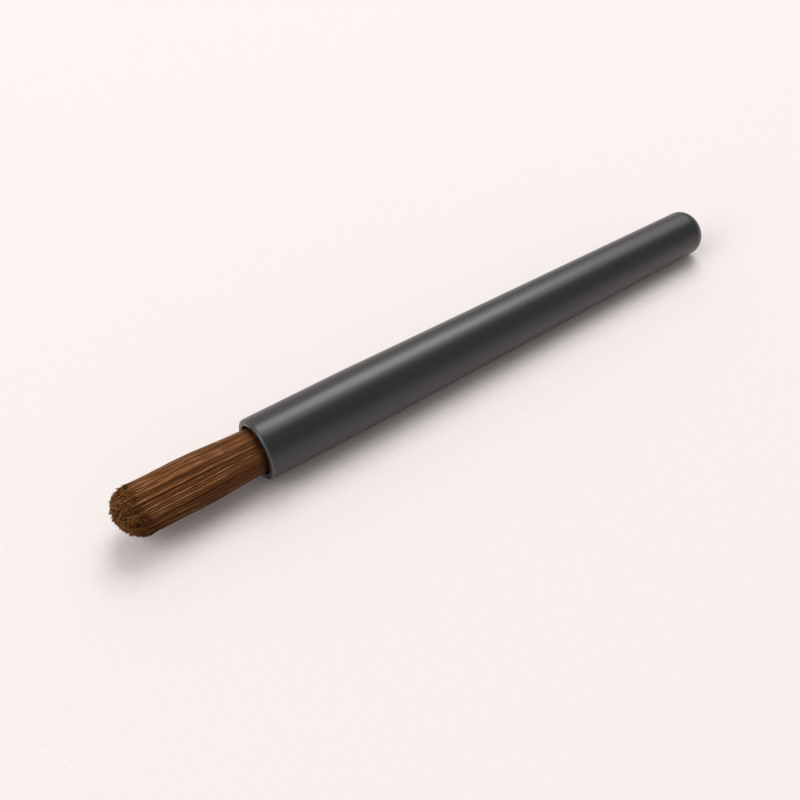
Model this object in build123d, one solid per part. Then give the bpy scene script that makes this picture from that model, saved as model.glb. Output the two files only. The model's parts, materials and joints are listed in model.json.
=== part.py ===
"""A calligraphy brush that lies on its side: a round, slightly tapered handle and a blunt tuft of hair.

Every piece is made about the brush's own axis, the X axis, with the handle's mouth at x = 0, the butt
towards +X and the hair towards -X. laid() then lays the piece down. The handle rests on the lowest line
of its cone, so the axis falls slightly towards the butt. The origin is under the middle of the brush.
All sizes are in millimetres.
"""

import math
import os

from build123d import *

# handle
HANDLE_LENGTH = 146.4
MOUTH_RADIUS = 8.0
BUTT_RADIUS = 6.4
LAND_LENGTH = 28.0  # parallel stretch behind the mouth, before the cone
BUTT_ROUNDING = 3.6
LIP_ROUNDING = 0.8
BORE_RADIUS = 6.45
BORE_DEPTH = 26.0
BORE_CHAMFER = 0.2
HOLLOW_RADIUS = 4.4
HOLLOW_END = 137.0

# root of the hair, in the bore
CUP_FRONT = 6.0
CUP_RADIUS = 6.25
CUP_WALL = 0.3
CUP_BASE = 1.0
GLUE_FRONT = 9.0
GLUE_BACK = 24.0
RESIN_LENGTH = 3.0
ROOT_RADIUS = 5.35
ROOT_FLARE_START = 8.0
THREAD_DIAMETER = 0.48
THREAD_PITCH = 0.42
THREAD_TURNS = 6
THREAD_BANDS = {"front": 9.5, "middle": 13.5, "rear": 17.5}  # first turn of each band

# free hair
HAIR_MOUTH_RADIUS = 5.8
HAIR_RADIUS = 6.65
HAIR_LENGTH = 36.4
DOME_DEPTH = 5.2
SIDE_SWELL = 0.2  # how far the side bulges beyond a straight line
BEND_DISTANCE = 6.0  # from the mouth to the centre that the tuft bends about
BEND_BALL_RADIUS = 6.05
BEND_CLEARANCE = 0.3
ROOT_REACH = 2.5  # how far the bound hair stands out of the mouth

# clumps of hair
COVER_LOCKS = 10
INNER_LOCKS = 5
CENTRE_RADIUS = 1.6
INNER_RADIUS = 4.0
LOCK_GAP = 0.1

TILT = math.degrees(math.atan((MOUTH_RADIUS - BUTT_RADIUS) / (HANDLE_LENGTH - BUTT_ROUNDING - LAND_LENGTH)))
MOUTH_X = (HAIR_LENGTH - HANDLE_LENGTH) / 2
MOUTH_Z = MOUTH_RADIUS * math.cos(math.radians(TILT)) + LAND_LENGTH * math.sin(math.radians(TILT))


def laid(shape):
    """The shape in the row's frame, with the brush lying on its side."""
    return Location((MOUTH_X, 0, MOUTH_Z), (0, TILT, 0)) * shape


def turned(*edges, arc=360.0):
    """The solid that a closed outline sweeps when it turns about the brush's axis."""
    return revolve(make_face(Wire(list(edges))), axis=Axis.X, revolution_arc=arc)


def outline(*points):
    """Straight edges through the points and back to the first."""
    return [Line(a, b) for a, b in zip(points, points[1:] + points[:1])]


def tube(start, end, inner, outer):
    """A plain ring or tube between two places along the axis."""
    return turned(*outline((start, inner), (end, inner), (end, outer), (start, outer)))


def handle_barrel():
    """The one-piece handle, with the socket for the hair and a narrower hollow behind it."""
    cone_end = HANDLE_LENGTH - BUTT_ROUNDING
    butt_flat = BUTT_RADIUS - BUTT_ROUNDING
    outer = turned(
        Line((0, 0), (0, MOUTH_RADIUS - LIP_ROUNDING)),
        CenterArc((LIP_ROUNDING, MOUTH_RADIUS - LIP_ROUNDING), LIP_ROUNDING, 90, 90),
        Line((LIP_ROUNDING, MOUTH_RADIUS), (LAND_LENGTH, MOUTH_RADIUS)),
        Line((LAND_LENGTH, MOUTH_RADIUS), (cone_end, BUTT_RADIUS)),
        CenterArc((cone_end, butt_flat), BUTT_ROUNDING, 0, 90),
        Line((HANDLE_LENGTH, butt_flat), (HANDLE_LENGTH, 0)),
        Line((HANDLE_LENGTH, 0), (0, 0)),
    )
    hollow = turned(
        *outline(
            (0, 0),
            (0, BORE_RADIUS + BORE_CHAMFER),
            (BORE_CHAMFER, BORE_RADIUS),
            (BORE_DEPTH, BORE_RADIUS),
            (BORE_DEPTH, HOLLOW_RADIUS),
            (HOLLOW_END, HOLLOW_RADIUS),
            (HOLLOW_END, 0),
        )
    )
    return outer - hollow


def root_cup():
    """The thin cup that holds the tied root, seated on the shoulder at the bottom of the socket."""
    whole = tube(CUP_FRONT, BORE_DEPTH, 0, CUP_RADIUS)
    return whole - tube(CUP_FRONT, BORE_DEPTH - CUP_BASE, 0, CUP_RADIUS - CUP_WALL)


def thread_band(first_turn):
    """Turns of thread round the root of the hair, wound so tight that each presses into the next."""
    radius = THREAD_DIAMETER / 2
    places = [first_turn + i * THREAD_PITCH for i in range(THREAD_TURNS)]
    section = Sketch() + [Location((x, ROOT_RADIUS + radius)) * Circle(radius) for x in places]
    return revolve(section, axis=Axis.X)


def hair_root():
    """The bound hair, from the resin to just outside the mouth, dished to clear the tuft as it bends."""
    root_end = BORE_DEPTH - CUP_BASE - RESIN_LENGTH
    dish_radius = BEND_BALL_RADIUS + BEND_CLEARANCE
    dish_angle = math.degrees(math.acos((BEND_DISTANCE - ROOT_REACH) / dish_radius))
    dish = CenterArc((-BEND_DISTANCE, 0), dish_radius, 0, dish_angle)
    return turned(
        dish,
        Line(dish @ 1, (-ROOT_REACH, HAIR_MOUTH_RADIUS)),
        Line((-ROOT_REACH, HAIR_MOUTH_RADIUS), (0, HAIR_MOUTH_RADIUS)),
        Line((0, HAIR_MOUTH_RADIUS), (ROOT_FLARE_START, ROOT_RADIUS)),
        Line((ROOT_FLARE_START, ROOT_RADIUS), (root_end, ROOT_RADIUS)),
        Line((root_end, ROOT_RADIUS), (root_end, 0)),
        Line((root_end, 0), dish @ 0),
    )


def tuft_face():
    """Half the outline of the free hair: a ball end about the bend, a swelling side and a blunt dome."""
    ball = CenterArc((-BEND_DISTANCE, 0), BEND_BALL_RADIUS, 0, 90)
    dome_radius = (HAIR_RADIUS**2 + DOME_DEPTH**2) / (2 * DOME_DEPTH)
    dome_angle = math.degrees(math.asin(HAIR_RADIUS / dome_radius))
    dome = CenterArc((dome_radius - HAIR_LENGTH, 0), dome_radius, 180 - dome_angle, dome_angle)
    side = SagittaArc(dome @ 0, ball @ 1, SIDE_SWELL)
    return make_face(Wire([ball, side, dome, Line(dome @ 1, ball @ 0)]))


def tuft_band(inner, outer):
    """The part of that outline between two radii."""
    band = Location((-HAIR_LENGTH / 2, (inner + outer) / 2)) * Rectangle(2 * HAIR_LENGTH, outer - inner)
    return tuft_face() & band


def hair_ring(count, inner, outer):
    """A ring of clumps between two radii, each a wedge of the tuft with a thin gap to the next."""
    arc = 360 / count - math.degrees(LOCK_GAP / inner)
    wedge = revolve(tuft_band(inner, outer), axis=Axis.X, revolution_arc=arc)
    return [Rot(X=i * 360 / count) * wedge for i in range(count)]


pieces = {
    "handle_barrel": handle_barrel(),
    "root_cup": root_cup(),
    "glue_ring": tube(GLUE_FRONT, GLUE_BACK, CUP_RADIUS, BORE_RADIUS),
    "root_resin": tube(BORE_DEPTH - CUP_BASE - RESIN_LENGTH, BORE_DEPTH - CUP_BASE, 0, ROOT_RADIUS),
    "hair_root": hair_root(),
}
for name, first_turn in THREAD_BANDS.items():
    pieces[f"binding_thread_{name}"] = thread_band(first_turn)
for i, lock in enumerate(hair_ring(COVER_LOCKS, INNER_RADIUS + LOCK_GAP, 2 * HAIR_RADIUS), 1):
    pieces[f"cover_lock_{i:02d}"] = lock
for i, lock in enumerate(hair_ring(INNER_LOCKS, CENTRE_RADIUS + LOCK_GAP, INNER_RADIUS), 1):
    pieces[f"inner_lock_{i}"] = lock
pieces["centre_lock"] = revolve(tuft_band(0, CENTRE_RADIUS), axis=Axis.X)

os.makedirs("parts", exist_ok=True)
for name, piece in pieces.items():
    export_step(laid(piece), f"parts/{name}.step")
print(len(pieces), "pieces, tilt", round(TILT, 3), "mouth at", round(MOUTH_X, 3), round(MOUTH_Z, 3))
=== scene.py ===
"""Looks for the calligraphy brush: the hair, the materials, the floor, the light and the camera.

Everything is in metres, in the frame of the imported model. The hair is made strand by strand. A strand's
place is its share of the tuft's radius and its angle round the brush's axis, from the +Y side upwards.
"""

import json
import math

import bpy
import numpy as np
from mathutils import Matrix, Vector


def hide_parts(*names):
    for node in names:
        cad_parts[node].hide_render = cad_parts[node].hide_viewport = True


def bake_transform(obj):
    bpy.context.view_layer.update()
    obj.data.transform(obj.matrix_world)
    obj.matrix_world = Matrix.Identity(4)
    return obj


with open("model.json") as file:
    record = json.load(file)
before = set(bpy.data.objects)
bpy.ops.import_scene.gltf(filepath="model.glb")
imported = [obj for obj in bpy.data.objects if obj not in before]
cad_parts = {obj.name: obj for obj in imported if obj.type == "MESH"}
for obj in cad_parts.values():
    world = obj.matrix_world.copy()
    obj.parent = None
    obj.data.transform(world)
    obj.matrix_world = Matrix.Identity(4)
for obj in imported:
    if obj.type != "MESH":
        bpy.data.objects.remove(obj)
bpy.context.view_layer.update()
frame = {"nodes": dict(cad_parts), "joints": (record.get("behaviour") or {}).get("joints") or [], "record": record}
random = np.random.default_rng(seed=11)

# ---- the tuft's outline, as distances out of the handle's mouth and radii

MOUTH_TO_BEND = 0.006
ROOT_END = -0.022
FLARE_START = -0.008
ROOT_RADIUS = 0.00535
MOUTH_RADIUS = 0.0058
BELLY_RADIUS = 0.00665
BELLY_START = 0.020
HAIR_LENGTH = 0.0364
HAIR_EXCESS = 0.0004  # how far the longest strands may stand past that length
DOME_DEPTH = 0.0052
END_SLANT = 0.18  # how much further out the hair ends per distance above the axis

# ---- how many strands there are, and where

COVER_LOCKS = 10
INNER_LOCKS = 5
INNER_SHARE = 0.0040 / BELLY_RADIUS
CENTRE_SHARE = 0.0016 / BELLY_RADIUS
SKIN_LAYERS = 4
SKIN_STRANDS = 250  # in each layer
SKIN_DEPTH = 0.00075
SKIN_THICKNESS = 0.00021
SKIN_JITTER = 0.3  # as a share of the space between strands
INSIDE_STRANDS = 1500
INSIDE_THICKNESS = 0.00031
INSIDE_JITTER = 0.006  # as a share of the tuft's radius

# ---- one strand's mesh

STRAND_SIDES = 5
FIRST_SIDE = 6  # how many radians round the first side may lie
INSIDE_RINGS = np.array([ROOT_END, FLARE_START, FLARE_START / 3])  # distances out of the mouth
OUTSIDE_RINGS = np.concatenate(  # shares of the free length
    [[0.0], np.linspace(0.04, 0.945, 18) ** 0.9, [0.97, 0.982, 0.99, 1.0]]
)
TAPERS = [(0.45, 0.00035), (0.8, 0.006)]  # the share of its width left at the end, and over what length

# ---- clumps, and the wisps inside them

COVER_SEEDS = 0.80  # how far out the middles of the cover's clumps lie, as a share of the radius
INNER_SEEDS = 0.42
CUT_IN_TWO = [(0.36, 0.64)]  # where a cover lock may be cut into clumps, as shares of its width
CUT_IN_THREE = [(0.25, 0.36), (0.60, 0.72)]
INNER_PLACE = (0.3, 0.7)  # where the seed of an inner clump may lie, as shares of its sector
LOBE_DEPTH = 0.00034  # how much lower a clump's edges lie than its middle
LOBE_SHARE = 0.75  # only strands further out than this follow the lobes
OUTERMOST_SHARE = 0.9  # the strands that a clump's width is measured on
LEAST_HALF_WIDTH = 0.01  # in radians, for the inner clumps, which have no such strands
CLUMP_OPENING = 0.018  # over what length a clump gathers
WISPS = 480
WISP_RANGE = (0.014, 0.036)  # over what distances from the mouth the wisps gather

# how the lobes, the pull and the tone differ round the tuft. Heights are shares of the radius
UPPER_LOBES = 0.45  # how much shallower the lobes are on the upper side
UPPER_LOBE_RANGE = (0, 0.8)
UPPER_PULL = 0.5  # how much less the upper clumps gather
UPPER_PULL_RANGE = (0, 0.7)
UPPER_PAINTED_LIGHT = 0.07  # painted light: how much lighter the hair is painted on the upper, far side of the tuft, towards the lamps
PAINTED_LIGHT_ANGLE = math.radians(45)
LOWER_PAINTED_SHADE = 0.11  # painted shade: how much darker the hair is below the top
LOWER_SHADE_RANGE = (0.3, 0.8)
PALE_ANGLE = math.radians(106)  # where the palest clumps lie
PALE_SPREAD = 0.25
PALE_TONE = 0.07

# how clumps, wisps and strands differ: a standard deviation, or the least and the most
CLUMP_PULL = (0.18, 0.306)
CLUMP_START = (0.004, 0.016)  # the distance from the mouth where a clump begins to gather
CLUMP_LIFT = 0.00010
CLUMP_TONE = 0.05
CLUMP_END = 0.00035
WISP_PULL = (0.25, 0.50)
WISP_LIFT = 0.00006
WISP_TONE = 0.07
WISP_END = 0.00016
WISP_SWAY = 0.00004
WISP_WAVES = 2.2  # along the free hair
STRAND_WIDTH = (0.72, 1.2)
STRAND_TONE = 0.16
STRAND_END = 0.00011
STRAND_SWAY = 0.000015
STRAND_WAVES = 5.5
LIFT_RANGE = (0, 0.02)  # distances from the mouth over which the lift and the sway grow
SWAY_RANGE = (0, 0.012)

# a few strands of the skin stand out, and all of them bend away at their tips
RIDGES = 0.10  # the share of the strands that stand higher, with a paler tone painted as their highlight
# painted highlight: how much paler the raised strands are
RIDGE_HIGHLIGHT_TONE = 0.3
RIDGE_LIFT = 0.00008
STRAYS = 0.035  # the share that stand off the tuft
STRAY_LIFT = 0.00035
STRAY_RANGE = (0.018, 0.034)
DRIFTERS = 0.05  # the share that cross their neighbours
DRIFT_ANGLE = 0.05
TIP_REACH = 0.00022
TIP_LENGTH = 0.003

# ---- the tone along a strand, from 0, dark, to 1, pale

MEAN_TONE = 0.5
STREAK_TONE = 0.08
STREAK_TURN = 40  # how many radians of wave the streaks have along the hair
STREAK_SHIFT = 3  # how many times its sway's phase a strand's streaks are shifted by
SPECK_TONE = 0.09
TIPWARD_TONE = 0.14  # how much paler the hair gets from the mouth to the end
TIPWARD_MIDDLE = 0.45
GROOVE_SHADE_TONE = 0.16  # painted shade: how much darker the edges of a clump are, in the creases between clumps
GROOVE_SHADE_EDGE = (0.55, 0.95)  # from 0, the middle of a clump, to 1, its edge
GROOVE_SHADE_RANGE = (0.006, 0.018)
MOUTH_SHADOW_TONE = 0.45  # painted shadow of the lip: how much darker the hair is just outside the mouth
MOUTH_SHADOW_RANGE = (0.0003, 0.0017)
RIM_SHADE_TONE = 0.30  # painted shade: how much darker it is just behind the face of hair ends, in the gaps between them
RIM_SHADE_RANGE = (0.0009, 0.0016)  # distances from a strand's end, as FACE_RANGE is
FACE_RANGE = (0.0003, 0.0006)  # where a strand takes on the colour of a cut end

# ---- surfaces. The colours of a ramp stand at places from 0 to 1

HAIR_COLOURS = [
    (0.0, (0.034, 0.009, 0.001)),
    (0.45, (0.122, 0.041, 0.008)),
    (0.75, (0.240, 0.094, 0.026)),
    (1.0, (0.480, 0.245, 0.125)),
]
FACE_COLOURS = [
    (0.0, (0.080, 0.026, 0.005)),
    (0.5, (0.155, 0.060, 0.012)),
    (1.0, (0.270, 0.120, 0.034)),
]
HAIR_ROUGHNESS = (0.42, 0.55)
HAIR_SPECULAR = 0.12
PAINT_COLOURS = [(0.3, (0.0110, 0.0112, 0.0115)), (0.7, (0.0160, 0.0163, 0.0167))]
PAINT_ROUGHNESS = (0.29, 0.36)
PAINT_SPECULAR = 0.58
# the paler grey of the painted highlight on the lip's outer edge
LIP_HIGHLIGHT_COLOUR = (0.062, 0.062, 0.064, 1)
FLOOR_COLOURS = [(0.35, (0.850, 0.792, 0.769)), (0.65, (0.874, 0.814, 0.791))]
FLOOR_ROUGHNESS = (0.85, 0.95)
FLOOR_SPECULAR = 0.1
MOTTLE_ROUGHNESS = 0.08  # how far a hidden material's roughness differs from its mean

# where the painted highlight on the lip lies, by how far the surface faces along the tuft
LIP_HIGHLIGHT_RAMP = [(0.15, (0, 0, 0)), (0.40, (1, 1, 1)), (0.55, (1, 1, 1)), (0.80, (0, 0, 0))]

# ---- floor, light and camera

FLOOR_HALF_SIDE = 4.0
LAMP_DISTANCE = 2.5
LAMP_WIDTH = 1.25
LAMPS = {  # degrees above the floor, degrees round from the butt's end, and watts
    "key_lamp": (57, 47, 19.5),
    "overhead_lamp": (78, 20, 6.0),
    "butt_lamp": (51, 16, 6.5),
    "low_key_lamp": (36, 46, 5.0),
    "rim_lamp": (27, 73, 2.0),
    "back_lamp": (57, 135, 1.5),
    "tip_lamp": (57, 180, 9.5),
    "low_tip_lamp": (36, 165, 9.0),
    "side_tip_lamp": (23, 182, 8.0),
}
ROOM_COLOUR = (1.0, 0.97, 0.96, 1)
ROOM_AT_FLOOR = 0.70
ROOM_AT_CEILING = 0.36
CEILING = 0.40  # the height in a direction's unit vector where the room is at its dimmest

# the photograph's viewing angle, fitted to the outlines of the handle and the tuft
CAMERA_PLACE = (-0.12601, -0.15750, 0.21098)
CAMERA_TARGET = (-0.01301, -0.00067, 0)
CAMERA_LENS = 50
CAMERA_SENSOR = 36

# ---- where the brush lies

record = frame["record"]
joint = next(j for j in frame["joints"] if j["name"] == "tuft_bend")
land = next(m for m in record["mounts"] if m["name"] == "cap_land")
OUT = Vector(land["axis"]).normalized()
SIDE = Vector((0, 1, 0))
UP = SIDE.cross(OUT).normalized()
MOUTH = Vector(joint["pos_m"]) - MOUTH_TO_BEND * OUT


# ---------------------------------------------------------------- strands


def grown(value, start, end):
    """0 before start, 1 after end, and a smooth rise between."""
    t = np.clip((value - start) / (end - start), 0, 1)
    return t * t * (3 - 2 * t)


def envelope(distance):
    """The tuft's radius at a distance out of the mouth. Inside the handle the distance is negative."""
    flare = np.clip((distance - FLARE_START) / -FLARE_START, 0, 1)
    belly = grown(distance, 0, BELLY_START)
    return ROOT_RADIUS + (MOUTH_RADIUS - ROOT_RADIUS) * flare + (BELLY_RADIUS - MOUTH_RADIUS) * belly


def dome(share):
    """How far out the hair ends at a share of the tuft's radius."""
    sphere = (BELLY_RADIUS**2 + DOME_DEPTH**2) / (2 * DOME_DEPTH)
    return HAIR_LENGTH - sphere + np.sqrt(sphere**2 - (np.clip(share, 0, 1) * BELLY_RADIUS) ** 2)


def strand_places():
    """Each strand's share of the radius and angle: even layers in the skin, a spiral lattice inside."""
    shares, angles = [], []
    for layer in range(SKIN_LAYERS):
        depth = layer + random.uniform(-SKIN_JITTER, SKIN_JITTER, SKIN_STRANDS)
        depth = SKIN_DEPTH * depth / SKIN_LAYERS
        place = np.arange(SKIN_STRANDS) + 0.5 * layer
        place = place + random.uniform(-SKIN_JITTER, SKIN_JITTER, SKIN_STRANDS)
        shares.append(1 - np.clip(depth, 0, 1) / BELLY_RADIUS)
        angles.append(2 * math.pi * (place / SKIN_STRANDS))
    count = np.arange(INSIDE_STRANDS) + 0.5
    reach = np.sqrt(count / INSIDE_STRANDS)
    inside = 1 - SKIN_DEPTH / BELLY_RADIUS
    golden = math.pi * (3 - math.sqrt(5))
    shares.append(inside * reach + random.normal(0, INSIDE_JITTER, INSIDE_STRANDS))
    angles.append(count * golden + random.normal(0, INSIDE_JITTER, INSIDE_STRANDS) / reach)
    return np.clip(np.concatenate(shares), 0, 1), np.concatenate(angles) % (2 * math.pi)


def locks_of(share, angle):
    """The name of the lock that each strand belongs to."""
    turn = angle / (2 * math.pi)
    cover = [f"cover_lock_{i + 1:02d}" for i in range(COVER_LOCKS)]
    inner = [f"inner_lock_{i + 1}" for i in range(INNER_LOCKS)]
    names = np.array(cover)[(turn * COVER_LOCKS).astype(int) % COVER_LOCKS].astype(object)
    in_inner = share < INNER_SHARE
    names[in_inner] = np.array(inner)[(turn[in_inner] * INNER_LOCKS).astype(int) % INNER_LOCKS]
    names[share < CENTRE_SHARE] = "centre_lock"
    return names


def on_ring(radius, turn):
    """The place at this share of the tuft's radius and this angle."""
    return radius * math.cos(turn), radius * math.sin(turn)


def clump_middles():
    """The clumps' seeds: two or three in each cover lock, a ring of smaller ones inside, and the middle."""
    seeds = []
    for i in range(COVER_LOCKS):
        limits = CUT_IN_TWO if i % 3 else CUT_IN_THREE
        cuts = [0, *(random.uniform(low, high) for low, high in limits), 1]
        for a, b in zip(cuts, cuts[1:]):
            seeds.append(on_ring(COVER_SEEDS, 2 * math.pi * (i + (a + b) / 2) / COVER_LOCKS))
    sectors = 2 * INNER_LOCKS
    for i in range(sectors):
        seeds.append(on_ring(INNER_SEEDS, 2 * math.pi * (i + random.uniform(*INNER_PLACE)) / sectors))
    seeds.append((0, 0))
    return np.array(seeds)


def nearest(points, seeds):
    """The index of the seed that lies nearest to each point."""
    return np.argmin(np.linalg.norm(points[:, None] - seeds[None], axis=2), axis=1)


# the arrays below hold one value for each strand, each clump or each wisp
share, angle = strand_places()
lock = locks_of(share, angle)
total = len(share)
flat = np.stack([share * np.cos(angle), share * np.sin(angle)], axis=1)

clump_seeds = clump_middles()
clumps = len(clump_seeds)
clump = nearest(flat, clump_seeds)
seed_angle = np.arctan2(clump_seeds[:, 1], clump_seeds[:, 0])
off_middle = np.abs(np.angle(np.exp(1j * (angle - seed_angle[clump]))))
outermost = [off_middle[(clump == i) & (share > OUTERMOST_SHARE)] for i in range(clumps)]
half_width = np.array([angles.max(initial=LEAST_HALF_WIDTH) for angles in outermost])
edge = np.where(share > LOBE_SHARE, np.clip(off_middle / half_width[clump], 0, 1), 0)
edge *= 1 - UPPER_LOBES * grown(flat[:, 1], *UPPER_LOBE_RANGE)
wisp_seeds = flat[random.choice(total, WISPS, replace=False)]
wisp = nearest(flat, wisp_seeds)

clump_pull = random.uniform(*CLUMP_PULL, clumps)
clump_start = random.uniform(*CLUMP_START, clumps)
clump_lift = random.normal(0, CLUMP_LIFT, clumps)
clump_tone = random.normal(0, CLUMP_TONE, clumps)
clump_end = random.normal(0, CLUMP_END, clumps)
clump_tone += PALE_TONE * np.exp(-(((seed_angle - PALE_ANGLE) / PALE_SPREAD) ** 2))
clump_pull *= 1 - UPPER_PULL * grown(clump_seeds[:, 1], *UPPER_PULL_RANGE)
wisp_pull = random.uniform(*WISP_PULL, WISPS)
wisp_lift = random.normal(0, WISP_LIFT, WISPS)
wisp_tone = random.normal(0, WISP_TONE, WISPS)
wisp_end = random.normal(0, WISP_END, WISPS)
wisp_sway = random.normal(0, WISP_SWAY, (WISPS, 2))
wisp_phase = random.uniform(0, 2 * math.pi, (WISPS, 2))

skin = share > 1 - SKIN_DEPTH / BELLY_RADIUS
end = dome(share) + END_SLANT * BELLY_RADIUS * flat[:, 1]
end += random.normal(0, STRAND_END, total) + wisp_end[wisp] + np.where(skin, clump_end[clump], 0)
end = np.minimum(end, HAIR_LENGTH + HAIR_EXCESS)
thickness = np.where(skin, SKIN_THICKNESS, INSIDE_THICKNESS) * random.uniform(*STRAND_WIDTH, total)
ridge = skin & (random.random(total) < RIDGES)
tone = MEAN_TONE + random.normal(0, STRAND_TONE, total) + wisp_tone[wisp] + clump_tone[clump]
# painted highlight on the raised strands
tone += RIDGE_HIGHLIGHT_TONE * ridge
# painted light: the hair is paler on its upper side, towards the lamps
tone += UPPER_PAINTED_LIGHT * np.cos(angle - PAINTED_LIGHT_ANGLE) * share
# painted shade: the hair is darker on its lower side
tone -= LOWER_PAINTED_SHADE * share * (1 - grown(flat[:, 1], *LOWER_SHADE_RANGE))
drift = np.where(skin & (random.random(total) < DRIFTERS), random.normal(0, DRIFT_ANGLE, total), 0)
stray = skin & (random.random(total) < STRAYS)
tip_turn = random.uniform(0, 2 * math.pi, total)
tip_reach = np.abs(random.normal(0, TIP_REACH, total))
sway = random.normal(0, STRAND_SWAY, (total, 2))
phase = random.uniform(0, 2 * math.pi, (total, 2))


def waves(size, count, start, free):
    """How far a line sways to the side and up, where it has this many waves along the free hair."""
    return size[:, None, :] * np.sin(2 * math.pi * count * free[..., None] + start[:, None, :])


def strand_lines(rows):
    """The centre lines of some strands: distances out of the mouth and the two offsets from the axis."""
    in_clump, in_wisp = clump[rows], wisp[rows]
    inside = np.broadcast_to(INSIDE_RINGS, (len(rows), len(INSIDE_RINGS)))
    distance = np.concatenate([inside, end[rows, None] * OUTSIDE_RINGS], axis=1)
    free = np.clip(distance / HAIR_LENGTH, 0, 1)

    start = clump_start[in_clump, None]
    opened = grown(distance, start, start + CLUMP_OPENING)
    pull = clump_pull[in_clump, None] * opened
    small_pull = wisp_pull[in_wisp, None] * grown(distance, *WISP_RANGE)
    point = flat[rows, None, :] + (clump_seeds[in_clump] - flat[rows])[:, None, :] * pull[..., None]
    point = point + (wisp_seeds[in_wisp] - flat[rows])[:, None, :] * small_pull[..., None]
    turned = drift[rows, None] * free
    across = point[..., 0] * np.cos(turned) - point[..., 1] * np.sin(turned)
    above = point[..., 0] * np.sin(turned) + point[..., 1] * np.cos(turned)

    lift = (clump_lift[in_clump] + wisp_lift[in_wisp])[:, None] * grown(distance, *LIFT_RANGE)
    lift = lift - LOBE_DEPTH * edge[rows, None] ** 2 * opened
    lift = lift + STRAY_LIFT * stray[rows, None] * grown(distance, *STRAY_RANGE)
    lift = lift + RIDGE_LIFT * ridge[rows, None] * opened
    radius = envelope(distance) - thickness[rows, None] / 2 + lift * share[rows, None]
    swing = waves(wisp_sway[in_wisp], WISP_WAVES, wisp_phase[in_wisp], free)
    swing = swing + waves(sway[rows], STRAND_WAVES, phase[rows], free)
    swing = swing * grown(distance, *SWAY_RANGE)[..., None]
    near_tip = np.clip((distance - end[rows, None] + TIP_LENGTH) / TIP_LENGTH, 0, 1)
    tip = tip_reach[rows, None] * near_tip**2
    across = across * radius + swing[..., 0] + tip * np.cos(tip_turn[rows, None])
    above = above * radius + swing[..., 1] + tip * np.sin(tip_turn[rows, None])
    return distance, across, above


def tube_mesh(name, points):
    """One mesh of closed tubes from their points, as an array of tubes, rings, sides and coordinates."""
    tubes, rings, round_ = points.shape[:3]
    index = np.arange(tubes * rings * round_).reshape(tubes, rings, round_)
    beside = np.roll(index, -1, axis=2)
    sides = np.stack([index[:, :-1], index[:, 1:], beside[:, 1:], beside[:, :-1]], axis=-1).reshape(-1, 4)
    caps = np.concatenate([index[:, 0], index[:, -1, ::-1]])
    mesh = bpy.data.meshes.new(name)
    mesh.vertices.add(index.size)
    mesh.vertices.foreach_set("co", points.astype(np.float32).ravel())
    mesh.loops.add(sides.size + caps.size)
    corners = np.concatenate([sides.ravel(), caps.ravel()])
    mesh.loops.foreach_set("vertex_index", corners.astype(np.int32))
    mesh.polygons.add(len(sides) + len(caps))
    starts = np.concatenate([np.arange(len(sides)) * 4, sides.size + np.arange(len(caps)) * round_])
    mesh.polygons.foreach_set("loop_start", starts.astype(np.int32))
    mesh.polygons.foreach_set("use_smooth", np.arange(len(starts)) < len(sides))
    mesh.update(calc_edges=True)
    mesh.validate()
    return mesh


def strand_tones(rows, distance, left):
    """The tone at each ring of some strands."""
    shift = phase[rows, :1] * STREAK_SHIFT
    streak = STREAK_TONE * np.sin(STREAK_TURN * distance / HAIR_LENGTH + shift)
    streak = streak + random.normal(0, SPECK_TONE, distance.shape)
    along = TIPWARD_TONE * (np.clip(distance / HAIR_LENGTH, 0, 1) - TIPWARD_MIDDLE)
    # painted shadow of the lip on the hair just outside the mouth
    mouth = MOUTH_SHADOW_TONE * (1 - grown(distance, *MOUTH_SHADOW_RANGE))
    # painted shade in the creases at the edges of the clumps
    groove_shade = GROOVE_SHADE_TONE * grown(edge[rows, None], *GROOVE_SHADE_EDGE) * grown(distance, *GROOVE_SHADE_RANGE)
    # painted shade in the gaps just behind the cut ends
    rim_shade = RIM_SHADE_TONE * (1 - grown(left, *RIM_SHADE_RANGE)) * grown(left, *FACE_RANGE)
    return np.clip(tone[rows, None] + streak + along - mouth - groove_shade - rim_shade, 0, 1)


def strand_mesh(name, rows):
    """One mesh of the strands in these rows. Each is a closed tube that narrows at its end."""
    distance, across, above = strand_lines(rows)
    turn = 2 * math.pi * np.arange(STRAND_SIDES) / STRAND_SIDES
    turn = turn + random.uniform(0, FIRST_SIDE, (len(rows), 1, 1))
    left = end[rows, None] - distance
    width = thickness[rows, None] / 2 * envelope(distance) / BELLY_RADIUS
    for remains, length in TAPERS:
        width = width * (remains + (1 - remains) * np.clip(left / length, 0, 1))
    ring_across = across[..., None] + width[..., None] * np.cos(turn)
    ring_above = above[..., None] + width[..., None] * np.sin(turn)
    points = np.array(MOUTH) + distance[..., None, None] * np.array(OUT)
    points = points + ring_across[..., None] * np.array(SIDE) + ring_above[..., None] * np.array(UP)

    mesh = tube_mesh(name, points)
    values = {
        "tone": strand_tones(rows, distance, left),
        "along": np.clip(distance / HAIR_LENGTH, 0, 1),
        "tip": 1 - grown(left, *FACE_RANGE),
    }
    for key, value in values.items():
        attribute = mesh.attributes.new(key, "FLOAT", "POINT")
        attribute.data.foreach_set("value", np.repeat(value.ravel(), STRAND_SIDES).astype(np.float32))
    return mesh


# ---------------------------------------------------------------- materials


def new_material(name):
    """A material with its nodes, its links and its shader."""
    material = bpy.data.materials.new(name)
    material.use_nodes = True
    nodes, links = material.node_tree.nodes, material.node_tree.links
    return material, nodes, links, nodes["Principled BSDF"]


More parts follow.
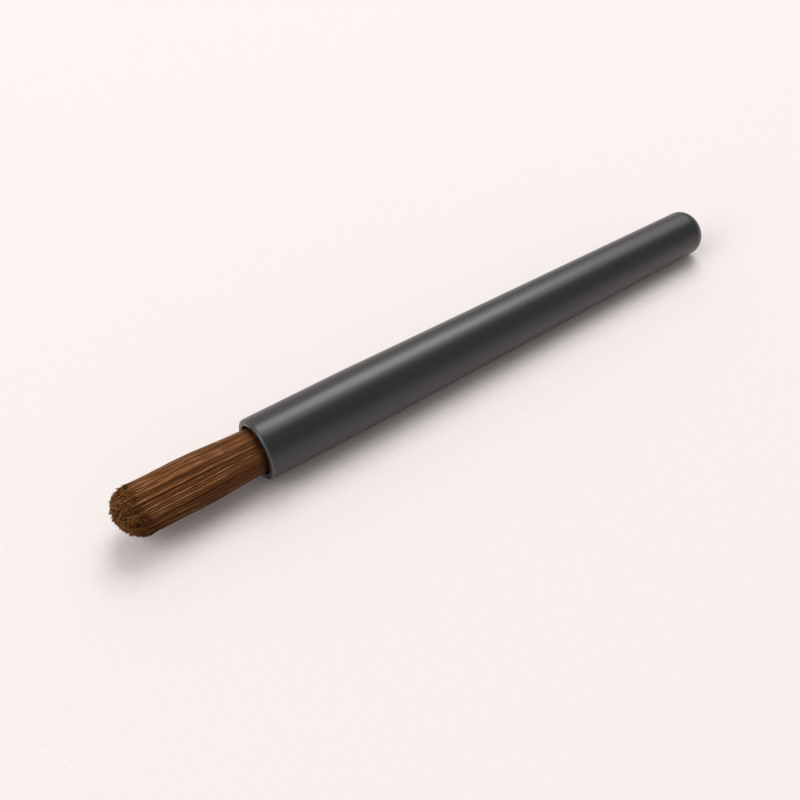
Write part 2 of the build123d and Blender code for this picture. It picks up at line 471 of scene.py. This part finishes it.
def ramped(nodes, links, value, stops):
    """The colour that the stops of a ramp give for a value."""
    node = nodes.new("ShaderNodeValToRGB")
    elements = node.color_ramp.elements
    while len(elements) < len(stops):
        elements.new(0.5)
    for element, (position, colour) in zip(elements, stops):
        element.position = position
        element.color = (*colour, 1)
    links.new(value, node.inputs["Fac"])
    return node.outputs["Color"]


def noise(nodes, links, scale, detail):
    """A noise texture in the object's own coordinates, which are the row's metres."""
    place = nodes.new("ShaderNodeTexCoord")
    texture = nodes.new("ShaderNodeTexNoise")
    texture.inputs["Scale"].default_value = scale
    texture.inputs["Detail"].default_value = detail
    links.new(place.outputs["Object"], texture.inputs["Vector"])
    return texture.outputs["Fac"]


def stored(nodes, name):
    """A value that the mesh carries at its points."""
    node = nodes.new("ShaderNodeAttribute")
    node.attribute_name = name
    return node.outputs["Fac"]


def ranged(nodes, links, value, low, high):
    """The value, from 0 to 1, brought to the range from low to high."""
    node = nodes.new("ShaderNodeMapRange")
    node.inputs["To Min"].default_value = low
    node.inputs["To Max"].default_value = high
    links.new(value, node.inputs["Value"])
    return node.outputs["Result"]


def mixed(nodes, links, share):
    """A node that mixes two colours, A and B, by a share of B."""
    node = nodes.new("ShaderNodeMix")
    node.data_type = "RGBA"
    links.new(share, node.inputs["Factor"])
    return node


def bumped(nodes, links, height, strength, distance):
    """Gives the shader a relief from a height."""
    node = nodes.new("ShaderNodeBump")
    node.inputs["Strength"].default_value = strength
    node.inputs["Distance"].default_value = distance
    links.new(height, node.inputs["Height"])
    links.new(node.outputs["Normal"], nodes["Principled BSDF"].inputs["Normal"])


def hair_material():
    """Brown hair, coloured by each strand's tone, with a colour of its own where it is cut."""
    material, nodes, links, shader = new_material("brown_hair")
    tone_value = stored(nodes, "tone")
    cut = mixed(nodes, links, ranged(nodes, links, stored(nodes, "tip"), low=0.0, high=0.9))
    links.new(ramped(nodes, links, tone_value, HAIR_COLOURS), cut.inputs["A"])
    links.new(ramped(nodes, links, tone_value, FACE_COLOURS), cut.inputs["B"])
    links.new(cut.outputs["Result"], shader.inputs["Base Color"])
    links.new(ranged(nodes, links, stored(nodes, "along"), *HAIR_ROUGHNESS), shader.inputs["Roughness"])
    shader.inputs["Specular IOR Level"].default_value = HAIR_SPECULAR
    return material


def handle_material():
    """Satin grey paint, with a painted highlight in paler grey along the outer edge of the lip."""
    material, nodes, links, shader = new_material("satin_grey_paint")
    grain = noise(nodes, links, scale=2600, detail=3)
    cloud = noise(nodes, links, scale=90, detail=3)
    surface = nodes.new("ShaderNodeNewGeometry")
    facing = nodes.new("ShaderNodeVectorMath")
    facing.operation = "DOT_PRODUCT"
    facing.inputs[1].default_value = OUT
    links.new(surface.outputs["Normal"], facing.inputs[0])
    # painted highlight: paler grey on the lip's rounded outer edge
    lip_highlight = mixed(nodes, links, ramped(nodes, links, facing.outputs["Value"], LIP_HIGHLIGHT_RAMP))
    lip_highlight.inputs["B"].default_value = LIP_HIGHLIGHT_COLOUR
    links.new(ramped(nodes, links, grain, PAINT_COLOURS), lip_highlight.inputs["A"])
    links.new(lip_highlight.outputs["Result"], shader.inputs["Base Color"])
    links.new(ranged(nodes, links, cloud, *PAINT_ROUGHNESS), shader.inputs["Roughness"])
    shader.inputs["Specular IOR Level"].default_value = PAINT_SPECULAR
    bumped(nodes, links, grain, strength=0.12, distance=0.00004)
    return material


def plain_material(name, dark, light, scale, roughness, metallic=0.0):
    """A mottled material for the pieces that are hidden in the handle."""
    material, nodes, links, shader = new_material(name)
    mottle = noise(nodes, links, scale, detail=4)
    links.new(ramped(nodes, links, mottle, [(0.3, dark), (0.7, light)]), shader.inputs["Base Color"])
    rough = ranged(nodes, links, mottle, roughness - MOTTLE_ROUGHNESS, roughness + MOTTLE_ROUGHNESS)
    links.new(rough, shader.inputs["Roughness"])
    shader.inputs["Metallic"].default_value = metallic
    bumped(nodes, links, mottle, strength=0.2, distance=0.00005)
    return material


def floor_material():
    """A pale matt surface with a fine grain."""
    material, nodes, links, shader = new_material("pale_floor")
    cloud = noise(nodes, links, scale=30, detail=5)
    grain = noise(nodes, links, scale=900, detail=3)
    links.new(ramped(nodes, links, grain, FLOOR_COLOURS), shader.inputs["Base Color"])
    links.new(ranged(nodes, links, cloud, *FLOOR_ROUGHNESS), shader.inputs["Roughness"])
    shader.inputs["Specular IOR Level"].default_value = FLOOR_SPECULAR
    bumped(nodes, links, grain, strength=0.25, distance=0.0003)
    return material


def set_material(thing, material):
    thing.data.materials.clear()
    thing.data.materials.append(material)


# ---------------------------------------------------------------- the hair

brown_hair = hair_material()
for name in sorted(set(lock)):
    mesh = strand_mesh(f"hair_{name}", np.flatnonzero(lock == name))
    piece = bpy.data.objects.new(f"hair_{name}", mesh)
    bpy.context.scene.collection.objects.link(piece)
    set_material(piece, brown_hair)
    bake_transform(piece)
    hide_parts(name, "hair_root")

# ---------------------------------------------------------------- the other pieces

set_material(frame["nodes"]["handle_barrel"], handle_material())
set_material(
    frame["nodes"]["root_cup"],
    plain_material(
        "cup_brass", (0.55, 0.38, 0.15), (0.75, 0.55, 0.26), scale=800, roughness=0.32, metallic=1.0
    ),
)
set_material(
    frame["nodes"]["root_resin"],
    plain_material("amber_resin", (0.20, 0.09, 0.02), (0.36, 0.18, 0.05), scale=500, roughness=0.15),
)
set_material(
    frame["nodes"]["glue_ring"],
    plain_material("set_glue", (0.26, 0.15, 0.05), (0.42, 0.25, 0.10), scale=700, roughness=0.3),
)
thread_material = plain_material(
    "waxed_thread", (0.42, 0.36, 0.27), (0.66, 0.59, 0.46), scale=4000, roughness=0.7
)
for band in ("front", "middle", "rear"):
    set_material(frame["nodes"][f"binding_thread_{band}"], thread_material)

# ---------------------------------------------------------------- floor, light and camera


def plane(name, half):
    """A square face at the height that the brush lies on."""
    mesh = bpy.data.meshes.new(name)
    corners = [(-half, -half, 0), (half, -half, 0), (half, half, 0), (-half, half, 0)]
    mesh.from_pydata(corners, [], [(0, 1, 2, 3)])
    thing = bpy.data.objects.new(name, mesh)
    bpy.context.scene.collection.objects.link(thing)
    return thing


floor = plane("floor", FLOOR_HALF_SIDE)
set_material(floor, floor_material())


def aimed(thing, place, target):
    """Adds a lamp or the camera to the scene at a place, looking at the target."""
    thing.location = place
    thing.rotation_euler = (Vector(target) - Vector(place)).to_track_quat("-Z", "Y").to_euler()
    bpy.context.scene.collection.objects.link(thing)


def lamp(name, height, turn, power):
    """A round softbox that faces the brush, from this many degrees up and round from the butt's end."""
    light = bpy.data.lights.new(name, "AREA")
    light.shape = "DISK"
    light.size = LAMP_WIDTH
    light.energy = power
    thing = bpy.data.objects.new(name, light)
    thing.visible_camera = False
    up, round_ = math.radians(height), math.radians(turn)
    direction = Vector((math.cos(up) * math.cos(round_), math.cos(up) * math.sin(round_), math.sin(up)))
    aimed(thing, LAMP_DISTANCE * direction, (0, 0, 0))


for name, (height, turn, power) in LAMPS.items():
    lamp(name, height, turn, power)


def studio_world():
    """A room that is pale near the floor and dims towards the ceiling."""
    world = bpy.data.worlds.new("studio")
    world.use_nodes = True
    nodes, links = world.node_tree.nodes, world.node_tree.links
    place = nodes.new("ShaderNodeTexCoord")
    parts = nodes.new("ShaderNodeSeparateXYZ")
    height = nodes.new("ShaderNodeMapRange")
    height.inputs["From Max"].default_value = CEILING
    height.inputs["To Min"].default_value = ROOM_AT_FLOOR
    height.inputs["To Max"].default_value = ROOM_AT_CEILING
    links.new(place.outputs["Generated"], parts.inputs["Vector"])
    links.new(parts.outputs["Z"], height.inputs["Value"])
    links.new(height.outputs["Result"], nodes["Background"].inputs["Strength"])
    nodes["Background"].inputs["Color"].default_value = ROOM_COLOUR
    return world


bpy.context.scene.world = studio_world()
bpy.context.scene.view_settings.view_transform = "Standard"

camera = bpy.data.cameras.new("camera")
camera.lens = CAMERA_LENS
camera.sensor_width = CAMERA_SENSOR
camera_object = bpy.data.objects.new("camera", camera)
aimed(camera_object, CAMERA_PLACE, CAMERA_TARGET)
bpy.context.scene.camera = camera_object

bpy.context.view_layer.update()
